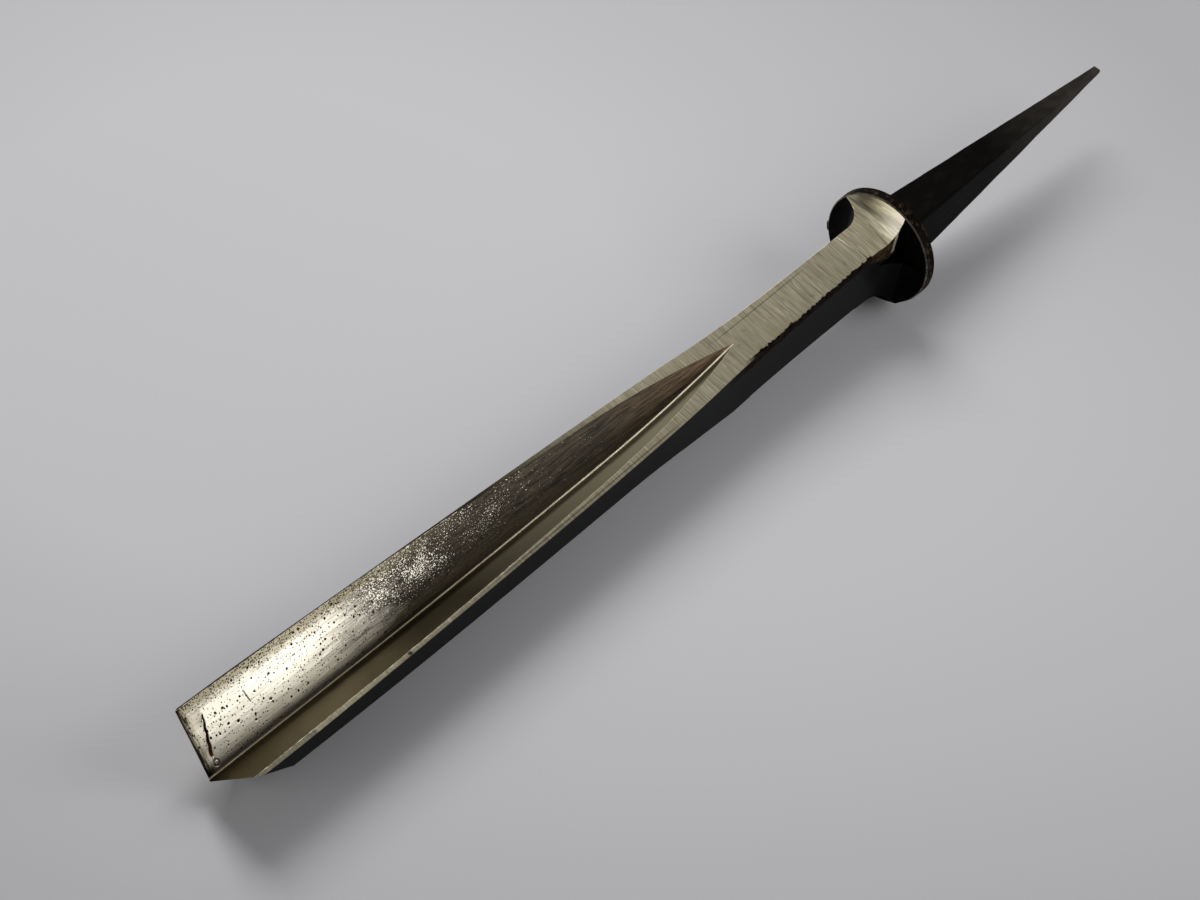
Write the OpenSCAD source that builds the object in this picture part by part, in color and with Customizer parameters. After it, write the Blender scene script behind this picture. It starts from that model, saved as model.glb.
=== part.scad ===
// Unhandled V-parting carving chisel, forged in one bar: blade, shank, bolster and tang.
// X runs from the tang point to the cutting edge, Z is up out of the open V.
// The origin is the centre of the bolster face that the handle seats on.

/* [Lengths along the tool] */
// From the handle seat to the cutting edge of the left wing
edge_x = 117; // [105:1:140]
// How far the cutting edge of the right wing stands ahead of it, from hand sharpening
edge_skew = 0.55; // [0:0.05:1]
// Width across which the edge steps forward from the left wing to the right one
step_w = 0.5; // [0.2:0.05:1]
// From the handle seat to the tang point
tang_len = 43.5; // [30:0.5:60]
// From the handle seat to where the blade is reckoned to start
blade_x = 28; // [24:0.5:34]
// From the handle seat to the front of the bolster's nose
nose_x = 7.5; // [6.5:0.1:9]

/* [Plan outline] */
// Width across the outside of the wings at the cutting edge
edge_w = 12.2; // [10:0.1:14]
// Width where the parallel end of the blade runs into its taper
wing_w = 11.9; // [10:0.1:13.5]
// Length of that nearly parallel end
wing_end = 13; // [8:1:20]
// Width at the shoulder, where the flare meets the taper
shoulder_w = 8; // [7:0.1:9]
// Distance of the shoulder from the seat
shoulder_x = 44; // [42:1:50]
// Width of the shank where its flare starts
shank_w = 5.32; // [4.8:0.02:6]
// Distance of the start of the flare from the seat
flare_x = 28; // [24:1:32]
// Width of the shank at the seat
root_w = 4.54; // [4:0.02:5]

/* [Side outline] */
// Depth of the keel below the axis
keel_drop = 4.15; // [3.8:0.05:4.6]
// Height of the ground top above the axis beside the bolster
root_top = 4.06; // [3.7:0.02:4.4]
// Distance from the seat over which that top stays level
level_x = 9; // [7.5:0.5:12]
// Height of the ground top at the waist
waist_top = 3.05; // [2.8:0.05:3.6]
// Distance from the seat to the start of the waist
waist_start = 28; // [24:1:34]
// Distance from the seat to the end of the waist
waist_end = 60; // [52:1:70]
// Height of the wing tops at the cutting edge
edge_top = 4.28; // [4:0.02:5]

/* [Slanted outside of the V] */
// Slope of the outside faces from the vertical
slant_angle = 45; // [42:0.5:48]
// Depth below the axis at which the two slants would meet, at the cutting edge
slant_edge = 4.3; // [4.2:0.05:4.7]
// The same over the middle of the blade
slant_mid = 5.35; // [5:0.05:5.7]
// The same at the heel of the V
slant_heel = 5.3; // [5.1:0.05:5.6]
// The same at the end of the run-in
slant_run_in = 5.45; // [5.3:0.05:5.8]
// The same where the slants leave the lower corners of the shank
slant_start = 7.3; // [7:0.05:7.8]
// Distance from the seat to the start of the slants
slant_start_x = 30; // [26:1:34]
// Distance from the seat to the end of the run-in
run_in_x = 46; // [42:1:48]
// Distance from the seat to the heel of the V
heel_x = 54; // [50:1:60]
// Distance from the seat to the place where the V starts to thin towards the edge
thin_x = 88; // [75:1:95]

/* [Groove] */
// Full angle of the V
v_angle = 88.5; // [86:0.5:92]
// Height of the groove bottom at the cutting edge
groove_z = -1.64; // [-2:0.02:-1.2]
// Sideways shift of the groove from the centre plane
groove_shift = -0.2; // [-0.4:0.05:0.4]
// Distance from the seat at which the bottom starts to rise
rise_x = 100; // [85:1:104]
// Radius of that long rise
rise_r = 900; // [700:10:1500]
// Distance from the seat at which the run-out starts
runout_x = 52; // [48:1:56]
// Radius of the run-out, left by the wheel
runout_r = 115; // [90:1:130]
// Angle of the sharpening bevel to the inner face of a wing
bevel_angle = 20; // [18:0.5:28]

/* [Bolster] */
// Diameter of the bolster
bolster_d = 14.25; // [13.5:0.05:16]
// Thickness of its rim
rim_t = 1.54; // [1.2:0.02:2.2]
// Worn bevel on both edges of the rim
rim_edge = 0.15; // [0.05:0.01:0.3]
// Radius of the flare from the sides of the shank into the bolster
side_flare_r = 4; // [3:0.1:4.8]
// Radius of the flare under the shank
under_flare_r = 2.8; // [2:0.1:4]
// Radius of the ground sweep at the right side of the shank
sweep_r = 3; // [1.5:0.1:3.4]
// Place across the bolster at which the sweep has narrowed to nothing
sweep_end_y = -6.5; // [-8:0.1:-5.5]
// Distance of the trimmed flank from the centre plane
trim_y = 2.45; // [2.4:0.05:3.2]
// Height above which the flank is trimmed
trim_z = 1; // [0:0.1:2]

/* [Tang] */
// Width of the tang at the seat
tang_w = 5.64; // [4.5:0.02:6.5]
// Height of the tang at the seat
tang_h = 7.84; // [6.5:0.02:9]
// Rise of the tang's root from the axis
tang_lift = 0.2; // [0:0.05:0.4]
// Sideways shift of the tang's root
tang_shift = 0.1; // [-0.3:0.05:0.3]
// Width of the blunt point
point_w = 0.9; // [0.6:0.05:2]
// Height of the blunt point
point_h = 0.5; // [0.4:0.05:2]
// Sideways bend of the point
point_y = -0.6; // [-1:0.05:1]
// Depth to which the tang's root is let into the bolster
tang_seat = 1.2; // [0.8:0.1:2]

/* [Hidden] */
$fn = 96;
// Far enough to pass every face of the tool
far = 40;
// Number of chords on each bend of an outline
chords = 10;
bolster_r = bolster_d / 2;
v_half = v_angle / 2;
front_x = edge_x + edge_skew;

// Smooth line that follows a few guide points: it is straight at both ends and touches each inner leg halfway
function halfway(a, b) = (a + b) / 2;
function bend(a, b, c) = [for (i = [0:chords - 1]) let (t = i / chords) (1 - t) ^ 2 * a + 2 * t * (1 - t) * b + t ^ 2 * c];
function flow(p) = concat(
    [p[0]],
    [for (k = [1:len(p) - 2]) each bend(halfway(p[k - 1], p[k]), p[k], halfway(p[k], p[k + 1]))],
    [halfway(p[len(p) - 2], p[len(p) - 1]), p[len(p) - 1]]
);
function reversed(p) = [for (i = [len(p) - 1:-1:0]) p[i]];

// Half of the plan outline, from the seat to the edge
function plan_line() = flow([
    [0, root_w / 2],
    [flare_x, shank_w / 2],
    [shoulder_x, shoulder_w / 2],
    [edge_x - wing_end, wing_w / 2],
    [front_x, edge_w / 2]
]);

// Ground top of the shank and the wings, from the seat to the edge
function top_line() = flow([
    [0, root_top],
    [level_x, root_top],
    [waist_start, waist_top],
    [waist_end, waist_top],
    [front_x, edge_top]
]);

// Depth at which the slanted outside faces would meet, from the shank to the edge
function slant_line() = flow([
    [slant_start_x, slant_start],
    [run_in_x, slant_run_in],
    [heel_x, slant_heel],
    [thin_x, slant_mid],
    [front_x, slant_edge]
]);

// Bottom of the groove from the edge back: level, then a long rise, then the run-out
rise_turn = asin((rise_x - runout_x) / rise_r);
// Angle through which the run-out turns, enough to leave the ground top
runout_turn = 18;
function groove_line() = concat(
    [[front_x + far, groove_z]],
    [for (i = [0:chords]) let (a = rise_turn * i / chords) [rise_x - rise_r * sin(a), groove_z + rise_r * (1 - cos(a))]],
    [for (i = [1:2 * chords]) let (a = rise_turn + runout_turn * i / (2 * chords)) [
        runout_x - runout_r * (sin(a) - sin(rise_turn)),
        groove_z + rise_r * (1 - cos(rise_turn)) + runout_r * (cos(rise_turn) - cos(a))
    ]]
);

// Slab across the tool between two distances from the seat
module between(x0, x1) {
    translate([x0, -far, -far]) cube([x1 - x0, 2 * far, 2 * far]);
}

// Solid drawn in side view and carried straight across the tool
module across() {
    rotate([90, 0, 0]) linear_extrude(2 * far, center = true) children();
}

// Solid drawn in side view and carried along a line that leans by an angle from the vertical, to the right
module leaning(angle) {
    rotate([-angle, 0, 0]) linear_extrude(4 * far, center = true) children();
}

// Forged bar before the groove: plan outline, ground top, keel and slanted outside faces
module bar() {
    plan = plan_line();
    top = top_line();
    slant = slant_line();
    intersection() {
        linear_extrude(2 * far, center = true) polygon(concat(
            [for (p = plan) [p[0], p[1]]],
            reversed([for (p = plan) [p[0], -p[1]]])
        ));
        across() polygon(concat(top, [[front_x, -keel_drop], [0, -keel_drop]]));
        outside(slant);
        mirror([0, 1, 0]) outside(slant);
    }
}

// Space inside the right-hand slanted face
module outside(slant) {
    s = sin(slant_angle);
    leaning(slant_angle) polygon(concat(
        [[-far, slant_start * s], [slant[0][0], slant_start * s]],
        [for (p = slant) [p[0], p[1] * s]],
        [[front_x + far, slant_edge * s], [front_x + far, -far], [-far, -far]]
    ));
}

// Space above the right-hand wall of the groove
module above_wall() {
    s = sin(v_half);
    rotate([180 - v_half, 0, 0]) linear_extrude(4 * far, center = true) polygon(concat(
        [for (p = groove_line()) [p[0], p[1] * s]],
        [[-far, far], [front_x + far, far]]
    ));
}

// V groove with its run-out
module groove() {
    translate([0, groove_shift, 0]) intersection() {
        above_wall();
        mirror([0, 1, 0]) above_wall();
    }
}

// Wedge that sharpens the right-hand wing from outside, up to an edge at a given distance from the seat
module bevel(x) {
    n = groove_z * sin(v_half);
    drop = far * tan(bevel_angle);
    translate([0, groove_shift, 0]) rotate([180 - v_half, 0, 0]) linear_extrude(4 * far, center = true) polygon([
        [x, n],
        [x - far, n - drop],
        [x + far, n - drop],
        [x + far, n]
    ]);
}

// Space in front of the slanted step between the two cutting edges
module edge_step() {
    linear_extrude(2 * far, center = true) polygon([
        [edge_x, groove_shift - far],
        [edge_x, groove_shift],
        [front_x, groove_shift + step_w],
        [front_x + far, groove_shift + step_w],
        [front_x + far, groove_shift - far]
    ]);
}

module blade() {
    color("silver") difference() {
        intersection() {
            bar();
            between(blade_x, front_x);
        }
        groove();
        bevel(front_x);
        edge_step();
        translate([0, 2 * groove_shift, 0]) mirror([0, 1, 0]) bevel(edge_x);
    }
}

module shank() {
    color("dimgray") difference() {
        intersection() {
            bar();
            between(nose_x, blade_x);
        }
        groove();
    }
}

// Disc of the bolster with its worn edges
module rim() {
    rotate([0, 90, 0]) rotate_extrude() polygon([
        [0, 0],
        [bolster_r - rim_edge, 0],
        [bolster_r, rim_edge],
        [bolster_r, rim_t - rim_edge],
        [bolster_r - rim_edge, rim_t],
        [0, rim_t]
    ]);
}

// Points of a concave quarter round that leaves a wall at height h and meets the rim
function flare(r, h) = [for (i = [0:chords]) let (a = 90 * i / chords) [rim_t + r * (1 - cos(a)), h + r * (1 - sin(a))]];

// Nose that carries the shank into the rim, before it is ground
module nose() {
    side = flare(side_flare_r, root_w / 2 + nose_rise());
    under = flare(under_flare_r, keel_drop);
    intersection() {
        rotate([0, 90, 0]) cylinder(r = bolster_r - rim_edge, h = nose_x);
        linear_extrude(2 * far, center = true) polygon(concat(
            [[0, side[0][1]]],
            side,
            [[nose_x, root_w / 2 + nose_rise()], [nose_x, -root_w / 2 - nose_rise()]],
            reversed([for (p = side) [p[0], -p[1]]]),
            [[0, -side[0][1]]]
        ));
        across() polygon(concat(
            [[0, far], [0, -under[0][1]]],
            [for (p = under) [p[0], -p[1]]],
            [[nose_x, -keel_drop], [nose_x, far]]
        ));
    }
}

// How much wider one side of the shank is at the nose than at the seat
function nose_rise() = (shank_w - root_w) / 2 * nose_x / flare_x;

// Corner left by the wheel: a cone that touches the level top and the front of the rim
module sweep() {
    growth = sweep_r / (trim_y - sweep_end_y);
    reach = bolster_r - sweep_end_y;
    half = asin(growth / sqrt(1 + 2 * growth ^ 2));
    axis_len = reach * sqrt(1 + 2 * growth ^ 2);
    difference() {
        translate([rim_t, -far, root_top]) cube([far, 2 * far, far]);
        difference() {
            intersection() {
                translate([rim_t, -far, root_top]) cube([far, 2 * far, far]);
                corner_wedge(growth, reach);
            }
            translate([rim_t, sweep_end_y, root_top])
                rotate([0, -45, 0])
                    rotate([0, 0, -atan(growth * sqrt(2))])
                        rotate([-90, 0, 0])
                            cylinder(r1 = 0, r2 = axis_len * tan(half), h = axis_len);
        }
    }
}

// Wedge under the plane through the two lines on which that cone touches
module corner_wedge(growth, reach) {
    depth = growth * reach / sqrt(2);
    length = sqrt(reach ^ 2 + depth ^ 2);
    translate([rim_t, sweep_end_y, root_top])
        rotate([0, -45, 0])
            rotate([0, 0, -atan(growth / sqrt(2))])
                translate([-far, 0, -far])
                    cube([far, length, 2 * far]);
}

module bolster() {
    color("dimgray") difference() {
        union() {
            rim();
            nose();
        }
        sweep();
        translate([rim_t, trim_y, trim_z]) cube([far, far, far]);
        tang_body();
    }
}

// Tapered tang with a parallel root that enters the bolster
module tang_body() {
    intersection() {
        linear_extrude(2 * far, center = true) polygon([
            [tang_seat, tang_shift + tang_w / 2],
            [0, tang_shift + tang_w / 2],
            [-tang_len, point_y + point_w / 2],
            [-tang_len, point_y - point_w / 2],
            [0, tang_shift - tang_w / 2],
            [tang_seat, tang_shift - tang_w / 2]
        ]);
        across() polygon([
            [tang_seat, tang_lift + tang_h / 2],
            [0, tang_lift + tang_h / 2],
            [-tang_len, point_h / 2],
            [-tang_len, -point_h / 2],
            [0, tang_lift - tang_h / 2],
            [tang_seat, tang_lift - tang_h / 2]
        ]);
    }
}

module tang() {
    color("darkslategray") tang_body();
}

blade();
shank();
bolster();
tang();
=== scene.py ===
"""Dresses the forged steel of an unhandled V-parting chisel and lays it on a pale table."""

import math

import bmesh
import bpy
from mathutils import Matrix, Vector


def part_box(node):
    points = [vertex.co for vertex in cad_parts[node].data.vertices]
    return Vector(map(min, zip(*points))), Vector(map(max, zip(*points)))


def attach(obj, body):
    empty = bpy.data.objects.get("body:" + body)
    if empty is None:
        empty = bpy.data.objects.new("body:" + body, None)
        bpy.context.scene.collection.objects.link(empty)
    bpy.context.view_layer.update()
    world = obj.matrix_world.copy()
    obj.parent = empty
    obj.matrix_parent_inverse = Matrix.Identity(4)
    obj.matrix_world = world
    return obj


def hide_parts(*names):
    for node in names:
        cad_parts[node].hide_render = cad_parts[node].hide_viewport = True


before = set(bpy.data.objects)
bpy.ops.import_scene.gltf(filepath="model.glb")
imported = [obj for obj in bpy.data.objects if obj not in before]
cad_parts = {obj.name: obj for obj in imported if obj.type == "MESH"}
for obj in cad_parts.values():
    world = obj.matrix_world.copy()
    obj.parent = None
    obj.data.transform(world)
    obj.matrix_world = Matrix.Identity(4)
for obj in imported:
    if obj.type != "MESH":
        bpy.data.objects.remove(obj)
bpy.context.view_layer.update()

bl_info = {
    "name": "V-Parting Chisel",
    "version": (1, 0, 0),
    "blender": (4, 5, 0),
    "location": "View3D > Sidebar > Chisel",
    "description": "Dresses the blade, shank, bolster and tang of a forged V-parting chisel",
    "category": "Add Mesh",
}

MM = 0.001
BLADE_LOW, BLADE_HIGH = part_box("blade")
BOLSTER_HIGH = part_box("bolster")[1]
TANG_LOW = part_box("tang")[0]
# The whole tool is one forging, so every piece rides on the one body
BODY = "root"

# The places and sizes below are in millimetres: forwards from the seat, to the right, and upwards

# Places closer than this count as one
NEAR = 0.01

# Turn of the grinding scratches from straight across the tool
SCRATCH_TURN = math.radians(-8)
# Turn of the polish, which sets how the top blurs what it mirrors
POLISH_TURN = math.radians(11)
# Height of the level top beside the bolster, from which the sweep rises
LEVEL_TOP = 4.075
# Middle of the patch of painted shade on the sweep, and of the painted highlight there
PAINTED_SHADE_PLACE = (1.6, -3.4, 6.4)
PAINTED_HIGHLIGHT_PLACE = (1.9, 1.7, 6.4)
# Where the line scribed along the left of the shank lies
SCRIBED_PLACE = -1.85
# How fast the right edge of the shank's top moves out towards the blade
EDGE_SLOPE = 0.0139
# The fine dark line on the right wing: where it would start at the seat, and how fast it moves out
LINE_PLACE = 1.754
LINE_SLOPE = 0.0386
# A nick in the top of the right wing
NICK_PLACE = (92.2, 5.26, 3.73)
# The rough band under the right edge of the top: its height at the seat, and how fast it sinks
BAND_HEIGHT = 3.45
BAND_SLOPE = 0.053

# Front of the bolster's rim
RIM_FRONT = 1.54
# Places further from the axis than this are on the rim
RIM_INNER = 6.9
# The groove bottom stays lower than this, and the tops of the wings are higher
ROOT_TOP = 2.9
# From here on, the inner edges of the wings are rubbed bright
RUBBED_START = 72.0

# Turn that lays the left wall of the groove flat, and the distance that then puts 0 at its foot
WALL_TURN = math.radians(134.25)
WALL_START = 1.035
# Where the face of that wall then lies, and how far from it a place still counts as on it
WALL_HEIGHT = 1.2877
WALL_REACH = 0.3
# Where the left wall carries the marks that are pressed in, and where their grid gets finer, up to the edge
MARKS_START = 103.0
MARKS_FINE = 112.8
# Cuts of the grid there, along and up the wall
MARKS_CUTS = 120
# Large rust pits: distance from the seat, distance up the wall, and radius
LARGE_PITS = (
    (110.4, 3.1, 0.2),
    (108.3, 2.0, 0.16),
    (105.4, 2.8, 0.17),
    (111.5, 5.3, 0.18),
    (113.2, 3.2, 0.15),
    (112.4, 4.4, 0.12),
    (106.9, 4.6, 0.13),
    (104.3, 5.2, 0.14),
    (109.4, 4.9, 0.11),
    (112.9, 1.7, 0.13),
)
# A scratch across the wall, from one end to the other
SCRATCH = ((108.23, 5.49), (107.95, 3.99))
# The scar near the edge: where it would meet the foot of the wall, and how fast it leans back up the wall
SCAR_PLACE = 115.87
SCAR_SLOPE = 0.283
# The small ring at the foot of the scar, given as the pits are
RING = (115.2, 0.95, 0.34)

# The ear of flash on the rim: how far down from the left side it stands, where it stands from the seat,
# and its size along the tool, outwards and around the rim
EAR_TURN = math.radians(14.5)
EAR_PLACE = 0.85
EAR_SIZE = (1.1, 1.4, 1.3)


def linear(hex_colour):
    """Linear red, green and blue of an sRGB colour such as b8b29e."""
    parts = [int(hex_colour[i : i + 2], 16) / 255 for i in (0, 2, 4)]
    return [c / 12.92 if c <= 0.04045 else ((c + 0.055) / 1.055) ** 2.4 for c in parts]


class ChiselShape(bpy.types.PropertyGroup):
    """Small sizes that wear and the wheel leave on the forging."""

    root_round: bpy.props.FloatProperty(
        name="Groove bottom",
        description="Width of the round at the bottom of the V, along each wall",
        default=0.75 * MM,
        min=0.0,
        unit="LENGTH",
    )
    ground_edge: bpy.props.FloatProperty(
        name="Ground edges",
        description="Width of the worn edge between two ground faces",
        default=0.05 * MM,
        min=0.0,
        unit="LENGTH",
    )
    wing_edge: bpy.props.FloatProperty(
        name="Wing edges",
        description="Width of the worn edges along the tops of the wings",
        default=0.11 * MM,
        min=0.0,
        unit="LENGTH",
    )
    forged_edge: bpy.props.FloatProperty(
        name="Forged edges",
        description="Width of the worn edge between two forged faces",
        default=0.14 * MM,
        min=0.0,
        unit="LENGTH",
    )
    ear: bpy.props.FloatProperty(
        name="Ear of flash",
        description="How far the ear of flash stands out from the rim",
        default=0.33 * MM,
        min=0.0,
        unit="LENGTH",
    )
    pit_depth: bpy.props.FloatProperty(
        name="Pits",
        description="Depth of the large rust pits in the left wall",
        default=0.06 * MM,
        min=0.0,
        unit="LENGTH",
    )
    scar_depth: bpy.props.FloatProperty(
        name="Scar",
        description="Depth of the facet between the scar and the edge of the left wing",
        default=0.08 * MM,
        min=0.0,
        unit="LENGTH",
    )
    tang_edge: bpy.props.FloatProperty(
        name="Tang edges",
        description="Share of the tang's width that each hammered edge takes, in per cent",
        default=5.0,
        min=0.0,
    )
    hammer_depth: bpy.props.FloatProperty(
        name="Hammer marks",
        description="Depth of the unevenness that forging leaves on the tang",
        default=0.12 * MM,
        min=0.0,
        unit="LENGTH",
    )


class ChiselFinish(bpy.types.PropertyGroup):
    """Colours of the steel and of the oxide on it."""

    steel: bpy.props.FloatVectorProperty(
        name="Bare steel",
        description="Colour of clean ground tool steel",
        subtype="COLOR",
        default=linear("c9c4b4"),
    )
    patina: bpy.props.FloatVectorProperty(
        name="Brown patina",
        description="Colour of the oxidised steel in the groove",
        subtype="COLOR",
        default=linear("332a1c"),
    )
    rust: bpy.props.FloatVectorProperty(
        name="Rust",
        description="Colour of the light rust at the run-out",
        subtype="COLOR",
        default=linear("5a4530"),
    )
    scale: bpy.props.FloatVectorProperty(
        name="Forge scale",
        description="Colour of the black oxide left by the fire",
        subtype="COLOR",
        default=linear("070605"),
    )
    blued: bpy.props.FloatVectorProperty(
        name="Blued side",
        description="Colour of the hardened sides of the forging",
        subtype="COLOR",
        default=linear("08090b"),
    )


class ChiselStage(bpy.types.PropertyGroup):
    """Table and camera."""

    table: bpy.props.FloatVectorProperty(
        name="Table",
        description="Colour of the plain table",
        subtype="COLOR",
        default=linear("cfced0"),
    )
    lens: bpy.props.FloatProperty(
        name="Lens",
        description="Focal length of the camera on a 36 mm wide sensor, in millimetres",
        default=180.0,
        min=50.0,
    )


# Points of the CAD mesh closer than this are one point
MERGE_GAP = 0.0005 * MM
# Faces that turn by less than this are one flat face
FLAT_ANGLE = math.radians(0.05)
# Edges that turn by more than this stay crisp
CRISP_ANGLE = math.radians(30)


def select_only(piece):
    """Makes a piece the only selected object, and the active one."""
    bpy.ops.object.select_all(action="DESELECT")
    piece.select_set(True)
    bpy.context.view_layer.objects.active = piece


def copy_of_node(node, name):
    """A piece that starts as a merged copy of a CAD node's mesh, with flat faces left whole."""
    piece = bpy.data.objects.new(name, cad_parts[node].data.copy())
    piece.data.name = name
    piece.data.materials.clear()
    bpy.context.scene.collection.objects.link(piece)
    select_only(piece)
    bpy.ops.mesh.customdata_custom_splitnormals_clear()
    bpy.ops.object.mode_set(mode="EDIT")
    bpy.ops.mesh.select_all(action="SELECT")
    bpy.ops.mesh.remove_doubles(threshold=MERGE_GAP)
    bpy.ops.mesh.dissolve_limited(angle_limit=FLAT_ANGLE)
    bpy.ops.object.mode_set(mode="OBJECT")
    return piece


def choose_edges(piece, wanted):
    """In edit mode, selects the edges that pass a test of their bmesh edge."""
    bpy.ops.mesh.select_mode(type="EDGE")
    bpy.ops.mesh.select_all(action="DESELECT")
    grid = bmesh.from_edit_mesh(piece.data)
    chosen = [edge for edge in grid.edges if len(edge.link_faces) == 2 and wanted(edge)]
    if not chosen:
        raise RuntimeError(f"{piece.name} has no such edge")
    for edge in chosen:
        edge.select = True
    grid.select_flush_mode()
    bmesh.update_edit_mesh(piece.data)


def round_edges(piece, wanted, width, segments, kind="OFFSET"):
    """Rounds the edges that pass a test, by a width or by a share of the faces beside them."""
    select_only(piece)
    bpy.ops.object.mode_set(mode="EDIT")
    choose_edges(piece, wanted)
    bpy.ops.mesh.bevel(
        offset_type=kind,
        offset=width,
        offset_pct=width,
        segments=segments,
        profile=0.5,
        affect="EDGES",
        clamp_overlap=True,
        loop_slide=True,
    )
    bpy.ops.object.mode_set(mode="OBJECT")


def give_finishes(piece, finishes, choose):
    """Adds the materials to the piece and gives each face the one that its normal and place call for."""
    names = list(finishes)
    for name in names:
        piece.data.materials.append(finishes[name])
    for face in piece.data.polygons:
        face.material_index = names.index(choose(face.normal, face.center / MM))


def press_in(piece, name, share, depth):
    """Presses marks into the left wall: a share from 0 to 1 of the depth at each place along and up it.

    The shares stay on the mesh as an attribute of that name, for the material.
    """
    places = [v.co / MM for v in piece.data.vertices]
    shares = [share(*wall_place(place)) if carries_marks(place) else 0.0 for place in places]
    piece.data.attributes.new(name, "FLOAT", "POINT").data.foreach_set("value", shares)
    group = piece.vertex_groups.new(name=name)
    for index, part in enumerate(shares):
        if part > 0:
            group.add([index], part, "REPLACE")
    hollow = piece.modifiers.new(name, "DISPLACE")
    hollow.vertex_group = name
    hollow.mid_level = 0.0
    hollow.strength = -depth
    select_only(piece)
    bpy.ops.object.modifier_apply(modifier=hollow.name)


def ramp(value, start, end):
    """0 at the start, 1 at the end, and smooth between."""
    t = min(max((value - start) / (end - start), 0.0), 1.0)
    return t * t * (3 - 2 * t)


def finish_shading(piece):
    """Smooth shading, split at the crisp edges, with normals weighted by face area."""
    select_only(piece)
    bpy.ops.object.shade_smooth_by_angle(angle=CRISP_ANGLE)
    weighted = piece.modifiers.new("Weighted normals", "WEIGHTED_NORMAL")
    weighted.keep_sharp = True
    bpy.ops.object.modifier_apply(modifier=weighted.name)


def declare(piece, node):
    """Hangs the piece on the body that carries it, and hides the CAD node that it takes the place of."""
    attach(piece, BODY)
    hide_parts(node)


def turn_of(edge):
    """Angle in degrees between the two faces of an edge."""
    a, b = (f.normal for f in edge.link_faces)
    return math.degrees(a.angle(b))


def runs_lengthwise(edge):
    """Whether an edge runs along the tool, or nearly so."""
    a, b = (v.co for v in edge.verts)
    return abs(a.x - b.x) > 0.9 * (a - b).length


def feed(tree, node, sockets):
    """Gives each named input of a node a value, or a link from an output."""
    for name, value in sockets.items():
        socket = node.inputs[name]
        if isinstance(value, bpy.types.NodeSocket):
            tree.links.new(value, socket)
        elif socket.type == "RGBA":
            socket.default_value = [*value, 1]
        else:
            socket.default_value = value


def add_node(tree, kind, sockets=None, out=0, **settings):
    """Adds a node, sets its properties and feeds its inputs.

    Returns the output that is named, which is the first one if none is, and the node itself for None.
    """
    made = tree.nodes.new("ShaderNode" + kind)
    for name, value in settings.items():
        setattr(made, name, value)
    feed(tree, made, sockets or {})
    return made if out is None else made.outputs[out]


# A Mix node that mixes colours: its two colour inputs, whose names are not unique, and its settings
MIX_A, MIX_B = 6, 7
OF_COLOURS = {"out": 2, "data_type": "RGBA"}


def new_material(name):
    """An empty material: its node tree, its shader, and object coordinates in millimetres."""
    material = bpy.data.materials.new(name)
    material.use_nodes = True
    tree = material.node_tree
    tree.nodes.clear()
    shader = add_node(tree, "BsdfPrincipled", out=None)
    add_node(tree, "OutputMaterial", {"Surface": shader.outputs["BSDF"]}, out=None)
    place = add_node(tree, "TexCoord", out="Object")
    return material, tree, shader, add_node(tree, "Mapping", {"Vector": place, "Scale": (1 / MM,) * 3})


def clouds(tree, place, grain, detail=3.0):
    """Cloudy pattern from 0 to 1 whose patches have a given size in millimetres along x, y and z."""
    stretched = add_node(tree, "Mapping", {"Vector": place, "Scale": tuple(1 / g for g in grain)})
    return add_node(
        tree, "TexNoise", {"Vector": stretched, "Scale": 1.0, "Detail": detail, "Roughness": 0.55}
    )


def specks(tree, place, spacing, radius, kept):
    """Specks on a flat wall: 1 inside, 0 outside. Kept is the share of the cells that hold one."""
    cells = add_node(
        tree,
        "TexVoronoi",
        {"Vector": place, "Scale": 1 / spacing, "Randomness": 1.0},
        out=None,
        voronoi_dimensions="2D",
    )
    lot = add_node(tree, "SeparateColor", {"Color": cells.outputs["Color"]}, out=None).outputs
    largest = radius / spacing
    size = add_node(tree, "MapRange", {"Value": lot["Green"], "To Min": 0.4 * largest, "To Max": largest})
    held = add_node(tree, "Math", {0: lot["Red"], 1: kept}, operation="LESS_THAN")
    size = add_node(tree, "Math", {0: size, 1: held}, operation="MULTIPLY")
    inside = add_node(tree, "Math", {0: size, 1: cells.outputs["Distance"]}, operation="SUBTRACT")
    return add_node(tree, "MapRange", {"Value": inside, "From Max": 0.2 * largest})


def forge_scale(name="forge_scale", thinned=False):
    """Forge scale, the black iron oxide of the fire: dull near-black with faint brown clouds.

    Thinned, it is rubbed off towards the point of the tang, where the grey steel comes through.
    """
    finish = bpy.context.scene.chisel_finish
    material, tree, shader, place = new_material(name)
    patches = clouds(tree, place, (2.4, 0.9, 0.9), detail=5.0)
    brown = add_node(tree, "MapRange", {"Value": patches, "From Min": 0.5, "From Max": 0.8, "To Max": 0.25})
    colour = add_node(tree, "Mix", {0: brown, MIX_A: finish.scale, MIX_B: linear("2b241b")}, **OF_COLOURS)
    if thinned:
        x = add_node(tree, "SeparateXYZ", {"Vector": place}, out="X")
        point = TANG_LOW.x / MM
        worn = add_node(tree, "MapRange", {"Value": x, "From Min": -20.0, "From Max": point, "To Max": 0.7})
        spots = clouds(tree, place, (2.5, 1.2, 1.2), detail=5.0)
        spots = add_node(tree, "MapRange", {"Value": spots, "From Min": 0.3, "From Max": 0.7, "To Min": 0.4})
        worn = add_node(tree, "Math", {0: worn, 1: spots}, operation="MULTIPLY")
        colour = add_node(tree, "Mix", {0: worn, MIX_A: colour, MIX_B: linear("4b4640")}, **OF_COLOURS)
    rough = add_node(tree, "MapRange", {"Value": patches, "To Min": 0.4, "To Max": 0.6})
    pits = clouds(tree, place, (0.5, 0.5, 0.5), detail=5.0)
    bump = add_node(tree, "Bump", {"Height": pits, "Distance": 0.05 * MM})
    feed(tree, shader, {"Base Color": colour, "Roughness": rough, "Normal": bump})
    feed(tree, shader, {"Specular IOR Level": 0.016})
    return material


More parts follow.
